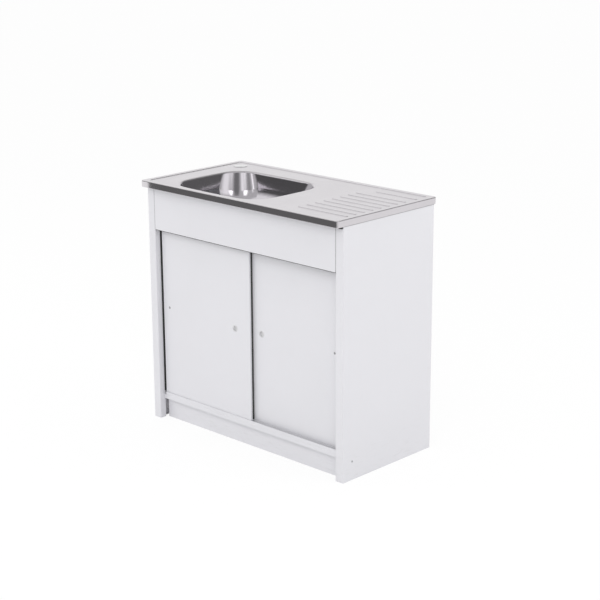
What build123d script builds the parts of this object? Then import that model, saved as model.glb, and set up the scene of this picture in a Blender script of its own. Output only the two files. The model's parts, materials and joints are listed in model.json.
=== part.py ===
from build123d import *
from math import radians, sqrt, tan
import os

os.makedirs("parts", exist_ok=True)

# Free-standing kitchen sink unit, 900 x 470 x 850 mm, in millimetres.
# X runs along the length (+X to the drainer), Y to the back and Z up from the floor.
# The origin is on the floor, under the middle of the sink top.

# ---- overall sizes of the sink top ----
unit_length = 900.0
unit_depth = 470.0
unit_height = 850.0

# ---- sink top ----
sink_sheet = 0.8
rim_height = 22.0  # turned-down edge
rim_corner_radius = 12.0
rim_edge_radius = 2.5
rim_fold_radius = 1.2
lip_width = 12.0  # edge turned in again under the rim
border_width = 20.0  # raised border round the deck
deck_recess = 1.5
deck_corner_radius = 14.0
border_slope = 45.0  # degrees
bowl_length = 411.0
bowl_width = 329.0
bowl_depth = 115.0
bowl_left_margin = 107.0  # from the left edge of the sink top to the bowl wall
bowl_front_margin = 31.1  # from the front edge of the sink top to the bowl wall
bowl_end_bulge = 6.0
bowl_side_bulge = 8.0
bowl_corner_radius = 85.0
bowl_foot_radius = 118.0  # corners open out towards the floor
bowl_draft = 15.0  # degrees
bowl_floor_radius = 92.0
bowl_rim_radius = 8.0
rib_count = 8
rib_pitch = 38.7
rib_length = 208.0
rib_width = 9.0
rib_height = 1.4
rib_slope = 40.0  # degrees
rib_right_margin = 26.0  # from the right edge of the sink top
rib_front_margin = 75.0  # from the front edge to the first rib
bar_length = 170.0  # single bar behind the ribs
bar_back_margin = 70.0
tap_hole_radius = 17.5
tap_left_margin = 70.0
tap_back_margin = 70.0

# ---- cupboard ----
cabinet_sheet = 1.0
bend_radius = 1.8
front_overhang = 30.0  # sink top past the cupboard front
back_overhang = 12.0
side_overhang = 2.0
stile_width = 32.0
stile_lip = 24.0
side_top_flange = 24.0
side_floor_flange = 20.0
side_back_flange = 20.0
flange_gap = 1.0  # between the ends of neighbouring flanges
rail_height = 148.0
rail_flange = 24.0
rail_hem = 12.0
rail_tab = 20.0
rail_fit = 0.3
bowl_notch = 8.0  # room beside the bowl in the rail's flange
rear_rail_height = 80.0
rear_rail_hem = 15.0
shelf_top = 84.0
shelf_lip = 14.0
shelf_recess = 19.0
shelf_side_flange = 34.0
shelf_back_flange = 24.0
plinth_recess = 31.0
plinth_end_gap = 8.0
plinth_top_flange = 38.0
plinth_hem = 15.0
back_sheet = 0.8
back_bottom = 60.0
back_top_gap = 2.0  # below the top of the cupboard
service_width = 440.0
service_height = 380.0
service_bottom = 250.0
wall_hole_radius = 4.0
wall_hole_spacing = 700.0
wall_hole_drop = 38.0  # below the top of the cupboard

# ---- doors ----
door_sheet = 0.8
door_bend_radius = 1.4
door_thickness = 10.0
door_recess = 22.0
door_gap = 5.4  # between the front and the rear door
door_overlap = 32.0
door_end_gap = 8.0
door_cover = 10.0  # door height hidden behind the rail
door_floor_gap = 8.0  # door above the cupboard bottom
door_back_lip = 10.0
cup_inset = 70.0  # from the door's inner edge
cup_height = 399.0
cup_rim_radius = 12.0
cup_rim_height = 0.9
cup_radius = 10.4
cup_wall = 1.0
cup_depth = 7.2
cup_edge_radius = 0.4
plug_inset = 30.0  # from the door's outer edge
plug_height = 406.0
plug_head_radius = 4.2
plug_head_height = 1.2
plug_shank_radius = 2.6
plug_shank_length = 5.0

# ---- door tracks, shoes and guides ----
track_base = 1.2
track_height = 6.0
track_margin = 6.0
ridge_thickness = 2.0
ridge_edge_radius = 0.8
track_wall = 1.2
track_fin = 10.0
track_mount = 30.0
track_end_gap = 0.3
guide_height = 10.0
guide_lift = 2.8
guide_length = 30.0
guide_side_clearance = 0.3
guide_edge_radius = 2.5
shoe_thickness = 7.0
shoe_length = 30.0
shoe_edge_radius = 1.4
shoe_floor_gap = 0.8
shoe_slot_clearance = 0.4
shoe_rest_clearance = 0.3
shoe_inset = 60.0  # from each end of the door
peg_radius = 2.4
peg_length = 6.0

# ---- what carries and damps the sink top ----
batten_width = 24.0
batten_side_gap = 0.5
batten_bowl_gap = 24.0
batten_right_gap = 112.0
batten_setback = 5.0
clip_sheet = 1.0
clip_width = 20.0
clip_reach = 8.0  # over the rim's lip
clip_edge_gap = 1.0
clip_inset = 115.0  # from the front and back edges of the sink top
clip_screw_inset = 17.5  # from the cupboard's side
clip_bend_radius = 0.15
pad_length = 76.0
pad_width = 30.0
pad_corner_radius = 8.0
pad_thickness = 3.0
pad_nut_gap = 10.0  # between the waste nut and the pads

# ---- basket waste ----
waste_hole_radius = 45.0
seal_thickness = 2.0
flange_radius = 57.0
flange_thickness = 1.5
flange_edge_radius = 1.0
seal_setback = 1.0  # seal inside the flange's edge
cup_seat_radius = 40.5
cup_seat_depth = 46.0
cup_seat_wall = 1.2
waste_floor = 1.5
tail_radius = 23.9
tail_bore_radius = 20.9
tail_length = 38.0
nut_radius = 52.0
nut_height = 10.0
nut_clearance = 0.5
nut_grip_count = 8
nut_grip_radius = 5.0
nut_grip_offset = 2.5  # centre of each grip notch outside the nut
nut_chamfer = 1.0
hub_radius = 6.0
hub_height = 6.0
spoke_width = 2.5
spoke_count = 4
spoke_bite = 0.2  # spokes run into the tail's wall
stem_radius = 3.0
stem_clearance = 0.06
stem_tail = 3.0
stopper_radius = 27.0
stopper_height = 4.0
stopper_clearance = 0.3
basket_sheet = 0.8
basket_foot_radius = 32.0
basket_wall_radius = 38.0
basket_rim_radius = 39.9
basket_rim_drop = 0.6
basket_hole_radius = 2.0
basket_ring_radii = (12.0, 19.0, 26.0)
basket_ring_counts = (8, 14, 20)
knob_radius = 10.0
knob_height = 7.0
knob_rise = 4.0
knob_edge_radius = 2.8

# ---- tap hole cover ----
cover_radius = 24.0
cover_edge = 1.0
cover_dome = 2.6
cover_stud_radius = 5.0
cover_stud_length = 26.0
cover_nut_radius = 18.5
cover_nut_flange = 2.5
cover_nut_height = 10.0
cover_nut_hex = 9.0
cover_nut_clearance = 0.1

# ---- screws ----
screw_radius = 1.9
screw_hole_radius = 2.1
screw_head_radius = 3.2
screw_head_height = 1.7
screw_slot_width = 0.9
screw_slot_depth = 0.8
screw_length = 7.0
screw_head_edge = 1.0
screw_slot_length = 3.8
screw_tip_chamfer = 0.7
rail_screw_drops = (20.0, 110.0)  # below the top of the cupboard
shelf_screw_setback = 42.4  # behind the cupboard front
shelf_screw_drop = 21.5  # below the cupboard bottom's top face
back_screw_margin = 40.0  # above the bottom edge of the back panel
back_screw_pitch = 240.0
back_screw_count = 3  # on each side below the rear rail
plinth_screw_count = 3
plinth_screw_inset = 108.0  # from each end of the plinth
plinth_screw_margin = 6.4  # from the back edge of the plinth's top flange
track_screw_count = 4
track_screw_inset = 18.0  # from each end of the plinth

# ---- places that follow from the sizes ----
half_length = unit_length / 2
half_depth = unit_depth / 2
rim_bottom = unit_height - rim_height
deck_top = unit_height - deck_recess
deck_under = deck_top - sink_sheet
clip_spacing = unit_depth - 2 * clip_inset
cabinet_front = -half_depth + front_overhang
cabinet_back = half_depth - back_overhang
cabinet_side = half_length - side_overhang
cabinet_top = rim_bottom
skin_inside = cabinet_side - cabinet_sheet
stile_inside = cabinet_side - stile_width
stile_lip_end = cabinet_front + stile_lip
back_flange_front = cabinet_back - cabinet_sheet
back_panel_front = back_flange_front - back_sheet
rear_rail_front = back_panel_front - rail_flange
rail_bottom = cabinet_top - rail_height
rail_half = stile_inside - rail_fit
bowl_x = -half_length + bowl_left_margin + bowl_length / 2
bowl_y = -half_depth + bowl_front_margin + bowl_width / 2
bowl_floor = deck_top - bowl_depth
bowl_under = bowl_floor - sink_sheet
tap_x = -half_length + tap_left_margin
tap_y = half_depth - tap_back_margin
door_width = (2 * stile_inside - 2 * door_end_gap + door_overlap) / 2
door_bottom = shelf_top + door_floor_gap
door_top = rail_bottom + door_cover
door_height = door_top - door_bottom
door_pitch = door_thickness + door_gap
front_door_y = cabinet_front + door_recess
rear_door_y = front_door_y + door_pitch
front_track_y = front_door_y + door_thickness / 2
rear_track_y = rear_door_y + door_thickness / 2
mid_track_y = (front_track_y + rear_track_y) / 2
track_top = shelf_top + track_height
track_half = rail_half - cabinet_sheet - track_end_gap
top_web = door_top + guide_height + guide_lift
seal_top = bowl_floor + seal_thickness
flange_top = seal_top + flange_thickness
cup_seat_outside = cup_seat_radius + cup_seat_wall
waste_bottom = seal_top - cup_seat_depth
waste_seat = waste_bottom + waste_floor
tail_bottom = waste_bottom - tail_length
lower_seal_bottom = bowl_under - seal_thickness
stopper_bottom = waste_seat + stopper_clearance
hub_bottom = waste_seat - hub_height
basket_floor = stopper_bottom + stopper_height
basket_rim = flange_top - basket_rim_drop
wall_hole_height = cabinet_top - wall_hole_drop
plinth_half = stile_inside - plinth_end_gap
plinth_screw_spacing = 2 * (plinth_half - plinth_screw_inset) / (plinth_screw_count - 1)
track_screw_spacing = 2 * (plinth_half - track_screw_inset) / (track_screw_count - 1)


def folded_sheet(plane, points, length, sheet, bend, side):
    # A sheet bent along the given outer line on a plane and drawn along the plane's normal.
    with BuildPart() as folded:
        with BuildSketch(plane):
            with BuildLine():
                FilletPolyline(*points, radius=bend)
                offset(amount=sheet, side=side)
            make_face()
        extrude(amount=length)
    return folded.part


def pan_screw(length):
    # Pan head screw with its head above the plane z = 0 and a cross recess.
    with BuildPart() as screw:
        with BuildSketch():
            Circle(screw_head_radius)
        extrude(amount=screw_head_height)
        fillet(screw.edges().sort_by(Axis.Z)[-1], screw_head_edge)
        with BuildSketch(Plane.XY.offset(screw_head_height)):
            Rectangle(screw_slot_length, screw_slot_width)
            Rectangle(screw_slot_width, screw_slot_length)
        extrude(amount=-screw_slot_depth, mode=Mode.SUBTRACT)
        with BuildSketch():
            Circle(screw_radius)
        extrude(amount=-length)
        chamfer(screw.faces().sort_by(Axis.Z)[0].edges(), screw_tip_chamfer)
    return screw.part


def dome_rise(radius, height):
    # How high a shallow round dome stands halfway between its edge and its middle.
    sphere = (radius**2 + height**2) / (2 * height)
    return sqrt(sphere**2 - radius**2 / 4) - sphere + height


def bowl_outline(inset, corner_radius):
    # Closed outline with bulging sides and rounded corners, moved in from the bowl's mouth by inset.
    half_x = bowl_length / 2 - inset
    half_y = bowl_width / 2 - inset
    corner_x = half_x - bowl_end_bulge
    corner_y = half_y - bowl_side_bulge
    with BuildSketch() as outline:
        with BuildLine():
            ThreePointArc((-corner_x, -corner_y), (0, -half_y), (corner_x, -corner_y))
            ThreePointArc((corner_x, -corner_y), (half_x, 0), (corner_x, corner_y))
            ThreePointArc((corner_x, corner_y), (0, half_y), (-corner_x, corner_y))
            ThreePointArc((-corner_x, corner_y), (-half_x, 0), (-corner_x, -corner_y))
        make_face()
        fillet(outline.vertices(), corner_radius)
    return outline.sketch


def bowl_solid(grow, depth, floor_radius):
    # Bowl with drafted walls and a rounded floor, wider all round than its wall by grow.
    mouth = bowl_outline(-grow, bowl_corner_radius + grow)
    foot = bowl_outline(depth * tan(radians(bowl_draft)) - grow, bowl_foot_radius + grow)
    with BuildPart() as bowl:
        with BuildSketch(Plane((bowl_x, bowl_y, deck_top))):
            add(mouth)
        with BuildSketch(Plane((bowl_x, bowl_y, deck_top - depth))):
            add(foot)
        loft(ruled=True)
        fillet(bowl.faces().sort_by(Axis.Z)[0].edges(), floor_radius)
    return bowl.part


def ring(x, y, bottom, height, outside, inside):
    with BuildPart() as body:
        with BuildSketch(Plane((x, y, bottom))):
            Circle(outside)
            Circle(inside, mode=Mode.SUBTRACT)
        extrude(amount=height)
    return body.part


# ---- sink top: pressed deck, rim, bowl and drainer ribs ----
tray_length = unit_length - 2 * border_width
tray_depth = unit_depth - 2 * border_width
bowl_body = bowl_solid(sink_sheet, bowl_depth + sink_sheet, bowl_floor_radius + sink_sheet)
bowl_space = bowl_solid(0.0, bowl_depth, bowl_floor_radius)
rib_x = half_length - rib_right_margin - rib_length / 2
rib_y = -half_depth + rib_front_margin + rib_pitch * (rib_count - 1) / 2
bar_x = half_length - rib_right_margin - bar_length / 2
bar_y = half_depth - bar_back_margin
mouth_reach = 2 * bowl_rim_radius  # how far round the bowl its mouth's edges are looked for
edge_tolerance = 0.01


def bowl_mouth(edges, height):
    # The edges of the bowl's mouth at one height.
    level = edges.filter_by_position(Axis.Z, height - edge_tolerance, height + edge_tolerance)
    half_x = bowl_length / 2 + mouth_reach
    half_y = bowl_width / 2 + edge_tolerance + sink_sheet
    level = level.filter_by_position(Axis.X, bowl_x - half_x, bowl_x + half_x)
    return level.filter_by_position(Axis.Y, bowl_y - half_y, bowl_y + half_y)


with BuildPart() as sink_top:
    with BuildSketch(Plane.XY.offset(rim_bottom)):
        RectangleRounded(unit_length, unit_depth, rim_corner_radius)
    extrude(amount=rim_height)
    fillet(sink_top.faces().sort_by(Axis.Z)[-1].edges(), rim_edge_radius)
    fillet(sink_top.faces().sort_by(Axis.Z)[0].edges(), rim_fold_radius)
    with BuildSketch(Plane.XY.offset(rim_bottom + sink_sheet)):
        RectangleRounded(
            unit_length - 2 * sink_sheet, unit_depth - 2 * sink_sheet, rim_corner_radius - sink_sheet
        )
    extrude(amount=rim_height - 2 * sink_sheet, mode=Mode.SUBTRACT)
    with BuildSketch(Plane.XY.offset(rim_bottom)):
        RectangleRounded(
            unit_length - 2 * lip_width, unit_depth - 2 * lip_width, rim_corner_radius - sink_sheet
        )
    extrude(amount=sink_sheet, mode=Mode.SUBTRACT)
    with BuildSketch(Plane.XY.offset(deck_under)):
        RectangleRounded(
            tray_length + 2 * sink_sheet, tray_depth + 2 * sink_sheet, deck_corner_radius + sink_sheet
        )
    extrude(amount=deck_recess)
    with BuildSketch(Plane.XY.offset(unit_height)):
        RectangleRounded(tray_length, tray_depth, deck_corner_radius)
    extrude(amount=-deck_recess, taper=border_slope, mode=Mode.SUBTRACT)
    add(bowl_body)
    fillet(bowl_mouth(sink_top.edges(), deck_under), bowl_rim_radius - sink_sheet)
    add(bowl_space, mode=Mode.SUBTRACT)
    fillet(bowl_mouth(sink_top.edges(), deck_top), bowl_rim_radius)
    with BuildSketch(Plane.XY.offset(deck_top)):
        with Locations((rib_x, rib_y)):
            with GridLocations(rib_length, rib_pitch, 1, rib_count):
                SlotOverall(rib_length, rib_width)
        with Locations((bar_x, bar_y)):
            SlotOverall(bar_length, rib_width)
    extrude(amount=rib_height, taper=rib_slope)
    with BuildSketch(Plane.XY.offset(deck_under)):
        with Locations((rib_x, rib_y)):
            with GridLocations(rib_length, rib_pitch, 1, rib_count):
                SlotOverall(rib_length - 2 * sink_sheet, rib_width - 2 * sink_sheet)
        with Locations((bar_x, bar_y)):
            SlotOverall(bar_length - 2 * sink_sheet, rib_width - 2 * sink_sheet)
    extrude(amount=rib_height, taper=rib_slope, mode=Mode.SUBTRACT)
    with BuildSketch(Plane((bowl_x, bowl_y, bowl_floor))):
        Circle(waste_hole_radius)
    extrude(amount=-2 * sink_sheet, mode=Mode.SUBTRACT)
    with BuildSketch(Plane((tap_x, tap_y, deck_top))):
        Circle(tap_hole_radius)
    extrude(amount=-2 * sink_sheet, mode=Mode.SUBTRACT)
sink_top.part.label = "sink_top"
export_step(sink_top.part, "parts/sink_top.step")

# ---- places of the screws and of the wall fixings ----
rail_screw_y = (cabinet_front + stile_lip_end) / 2
rail_screw_points = [
    (side * rail_half, rail_screw_y, cabinet_top - drop) for side in (-1, 1) for drop in rail_screw_drops
]
shelf_screw_y = cabinet_front + shelf_screw_setback
shelf_screw_z = shelf_top - shelf_screw_drop
back_screw_x = cabinet_side - side_back_flange / 2
back_screw_low = back_bottom + back_screw_margin
back_screw_heights = [back_screw_low + step * back_screw_pitch for step in range(back_screw_count)]
back_screw_heights.append(wall_hole_height)  # the top one goes through the rear rail
clip_screw_x = cabinet_side - clip_screw_inset
plinth_screw_y = cabinet_front + plinth_recess + plinth_top_flange - plinth_screw_margin

# ---- folded side panels, mirror images of each other ----
right_skin = folded_sheet(
    Plane.XY,
    [
        (stile_inside, stile_lip_end),
        (stile_inside, cabinet_front),
        (cabinet_side, cabinet_front),
        (cabinet_side, cabinet_back),
        (cabinet_side - side_back_flange, cabinet_back),
    ],
    cabinet_top,
    cabinet_sheet,
    bend_radius,
    Side.LEFT,
)

with BuildPart() as right_side_panel:
    add(right_skin)
    with BuildSketch(Plane.XY.offset(cabinet_top)):
        with Locations((skin_inside, stile_lip_end + flange_gap)):
            Rectangle(
                side_top_flange - cabinet_sheet,
                rear_rail_front - stile_lip_end - 2 * flange_gap,
                align=(Align.MAX, Align.MIN),
            )
        with GridLocations(0, clip_spacing, 1, 2):
            with Locations((clip_screw_x, 0)):
                Circle(screw_hole_radius, mode=Mode.SUBTRACT)
    extrude(amount=-cabinet_sheet)
    with BuildSketch(Plane.XY):
        with Locations((skin_inside, stile_lip_end + flange_gap)):
            Rectangle(
                side_floor_flange - cabinet_sheet,
                back_flange_front - stile_lip_end - flange_gap,
                align=(Align.MAX, Align.MIN),
            )
    extrude(amount=cabinet_sheet)
    with BuildSketch(Plane.YZ.offset(stile_inside)):
        with Locations(*[(rail_screw_y, cabinet_top - drop) for drop in rail_screw_drops]):
            Circle(screw_hole_radius)
    extrude(amount=cabinet_sheet, mode=Mode.SUBTRACT)
    with BuildSketch(Plane.YZ.offset(cabinet_side)):
        with Locations((shelf_screw_y, shelf_screw_z)):
            Circle(screw_hole_radius)
    extrude(amount=-cabinet_sheet, mode=Mode.SUBTRACT)
    with BuildSketch(Plane.XZ.offset(-cabinet_back)):
        with Locations(*[(back_screw_x, height) for height in back_screw_heights]):
            Circle(screw_hole_radius)
    extrude(amount=cabinet_sheet, mode=Mode.SUBTRACT)
right_side_panel.part.label = "right_side_panel"
export_step(right_side_panel.part, "parts/right_side_panel.step")

with BuildPart() as left_side_panel:
    mirror(right_side_panel.part, about=Plane.YZ)
left_side_panel.part.label = "left_side_panel"
export_step(left_side_panel.part, "parts/left_side_panel.step")

# ---- front rail between the stiles ----
rail_strip = folded_sheet(
    Plane.YZ.offset(-rail_half),
    [
        (cabinet_front + rail_flange, cabinet_top),
        (cabinet_front, cabinet_top),
        (cabinet_front, rail_bottom),
        (cabinet_front + rail_hem, rail_bottom),
    ],
    2 * rail_half,
    cabinet_sheet,
    bend_radius,
    Side.LEFT,
)

with BuildPart() as front_rail:
    add(rail_strip)
    for side in (-1, 1):
        with BuildSketch(Plane.YZ.offset(side * rail_half)):
            with Locations((cabinet_front + cabinet_sheet, rail_bottom + cabinet_sheet)):
                Rectangle(rail_tab, rail_height - 2 * cabinet_sheet, align=(Align.MIN, Align.MIN))
            with Locations(*[(rail_screw_y, cabinet_top - drop) for drop in rail_screw_drops]):
                Circle(screw_hole_radius, mode=Mode.SUBTRACT)
        extrude(amount=-side * cabinet_sheet)
    with BuildSketch(Plane.XY.offset(cabinet_top)):
        with Locations((bowl_x, cabinet_front + cabinet_sheet)):
            Rectangle(bowl_length + 2 * bowl_notch, rail_flange, align=(Align.CENTER, Align.MIN))
    extrude(amount=-bend_radius, mode=Mode.SUBTRACT)
front_rail.part.label = "front_rail"
export_step(front_rail.part, "parts/front_rail.step")

# ---- rear rail with the wall fixing holes ----
rear_strip = folded_sheet(
    Plane.YZ.offset(-skin_inside),
    [
        (rear_rail_front, cabinet_top),
        (back_panel_front, cabinet_top),
        (back_panel_front, cabinet_top - rear_rail_height),
        (back_panel_front - rear_rail_hem, cabinet_top - rear_rail_height),
    ],
    2 * skin_inside,
    cabinet_sheet,
    bend_radius,
    Side.RIGHT,
)

with BuildPart() as rear_rail:
    add(rear_strip)
    with BuildSketch(Plane.XZ.offset(-back_panel_front)):
        with Locations((0, wall_hole_height)):
            with GridLocations(wall_hole_spacing, 0, 2, 1):
                Circle(wall_hole_radius)
            with GridLocations(2 * back_screw_x, 0, 2, 1):
                Circle(screw_hole_radius)
    extrude(amount=cabinet_sheet, mode=Mode.SUBTRACT)
rear_rail.part.label = "rear_rail"
export_step(rear_rail.part, "parts/rear_rail.step")

# ---- thin back with the service opening for the pipes ----
back_half = skin_inside - (bend_radius - cabinet_sheet)
back_height = cabinet_top - back_top_gap - back_bottom

with BuildPart() as back_panel:
    with BuildSketch(Plane.XZ.offset(-back_flange_front)):
        with Locations((0, back_bottom)):
            Rectangle(2 * back_half, back_height, align=(Align.CENTER, Align.MIN))
        with Locations((bowl_x, service_bottom)):
            Rectangle(service_width, service_height, align=(Align.CENTER, Align.MIN), mode=Mode.SUBTRACT)
        with Locations((0, wall_hole_height)):
            with GridLocations(wall_hole_spacing, 0, 2, 1):
                Circle(wall_hole_radius, mode=Mode.SUBTRACT)
        for height in back_screw_heights:
            with Locations((0, height)):
                with GridLocations(2 * back_screw_x, 0, 2, 1):
                    Circle(screw_hole_radius, mode=Mode.SUBTRACT)
    extrude(amount=back_sheet)
back_panel.part.label = "back_panel"
export_step(back_panel.part, "parts/back_panel.step")

# ---- cupboard bottom with its front lip between the stiles ----
shelf_front = cabinet_front + shelf_recess
shelf_strip = folded_sheet(
    Plane.YZ.offset(-rail_half),
    [
        (shelf_front, shelf_top - shelf_lip),
        (shelf_front, shelf_top),
        (back_panel_front, shelf_top),
        (back_panel_front, shelf_top - shelf_back_flange),
    ],
    2 * rail_half,
    cabinet_sheet,
    bend_radius,
    Side.RIGHT,
)
wing_front = stile_lip_end + flange_gap

with BuildPart() as bottom_panel:
    add(shelf_strip)
    for side in (-1, 1):
        with BuildSketch(Plane.XY.offset(shelf_top)):
            with Locations((side * (rail_half + skin_inside) / 2, wing_front)):
                Rectangle(
                    skin_inside - rail_half,
                    back_panel_front - bend_radius - wing_front,
                    align=(Align.CENTER, Align.MIN),
                )
        extrude(amount=-cabinet_sheet)
        with BuildSketch(Plane.YZ.offset(side * skin_inside)):
            with Locations((wing_front, shelf_top)):
                Rectangle(
                    back_panel_front - bend_radius - wing_front,
                    shelf_side_flange,
                    align=(Align.MIN, Align.MAX),
                )
            with Locations((shelf_screw_y, shelf_screw_z)):
                Circle(screw_hole_radius, mode=Mode.SUBTRACT)
        extrude(amount=-side * cabinet_sheet)
    with BuildSketch(Plane.XY.offset(shelf_top)):
        with Locations((0, plinth_screw_y)):
            with GridLocations(plinth_screw_spacing, 0, plinth_screw_count, 1):
                Circle(screw_hole_radius)
        with Locations((0, mid_track_y)):
            with GridLocations(track_screw_spacing, 0, track_screw_count, 1):
                Circle(screw_hole_radius)
    extrude(amount=-cabinet_sheet, mode=Mode.SUBTRACT)
bottom_panel.part.label = "bottom_panel"
export_step(bottom_panel.part, "parts/bottom_panel.step")

# ---- recessed plinth ----
plinth_front = cabinet_front + plinth_recess
plinth_top = shelf_top - cabinet_sheet
plinth_strip = folded_sheet(
    Plane.YZ.offset(-plinth_half),
    [
        (plinth_front + plinth_hem, 0),
        (plinth_front, 0),
        (plinth_front, plinth_top),
        (plinth_front + plinth_top_flange, plinth_top),
    ],
    2 * plinth_half,
    cabinet_sheet,
    bend_radius,
    Side.RIGHT,
)

with BuildPart() as plinth:
    add(plinth_strip)
    with BuildSketch(Plane.XY.offset(plinth_top)):
        with Locations((0, plinth_screw_y)):
            with GridLocations(plinth_screw_spacing, 0, plinth_screw_count, 1):
                Circle(screw_hole_radius)
        with Locations((0, mid_track_y)):
            with GridLocations(track_screw_spacing, 0, track_screw_count, 1):
                Circle(screw_hole_radius)
    extrude(amount=-cabinet_sheet, mode=Mode.SUBTRACT)
plinth.part.label = "plinth"
export_step(plinth.part, "parts/plinth.step")

# ---- bottom track with one ridge under each door ----
with BuildPart() as bottom_track:
    with BuildSketch(Plane.YZ.offset(-track_half)):
        with Locations((mid_track_y, shelf_top)):
            Rectangle(door_pitch + 2 * track_margin, track_base, align=(Align.CENTER, Align.MIN))
        for ridge_y in (front_track_y, rear_track_y):
            with Locations((ridge_y, shelf_top)):
                Rectangle(ridge_thickness, track_height, align=(Align.CENTER, Align.MIN))
    extrude(amount=2 * track_half)
    ridge_edges = bottom_track.edges().filter_by(Axis.X).group_by(Axis.Z)[-1]
    fillet(ridge_edges, ridge_edge_radius)
    with BuildSketch(Plane.XY.offset(shelf_top)):
        with Locations((0, mid_track_y)):
            with GridLocations(track_screw_spacing, 0, track_screw_count, 1):
                Circle(screw_hole_radius)
    extrude(amount=track_base, mode=Mode.SUBTRACT)
bottom_track.part.label = "bottom_track"
export_step(bottom_track.part, "parts/bottom_track.step")

# ---- top track: a web with three fins, hung on the rail's inner face ----
rail_inner_face = cabinet_front + cabinet_sheet
web_back = rear_track_y + door_pitch / 2 + track_wall / 2

with BuildPart() as top_track:
    with BuildSketch(Plane.YZ.offset(-track_half)):
        with Locations((rail_inner_face, top_web)):
            Rectangle(web_back - rail_inner_face, track_wall, align=(Align.MIN, Align.MIN))
            Rectangle(track_wall, track_mount, align=(Align.MIN, Align.MIN))
        for fin in (-1, 0, 1):
            with Locations((mid_track_y + fin * door_pitch, top_web)):
                Rectangle(track_wall, track_fin, align=(Align.CENTER, Align.MAX))
    extrude(amount=2 * track_half)
top_track.part.label = "top_track"
export_step(top_track.part, "parts/top_track.step")

# ---- doors: each with its cup, plug, shoes and guides ----
guide_thickness = door_pitch - track_wall - 2 * guide_side_clearance
door_sides = (
    ("left", -1, front_door_y, front_track_y),
    ("right", 1, rear_door_y, rear_track_y),
)

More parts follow.
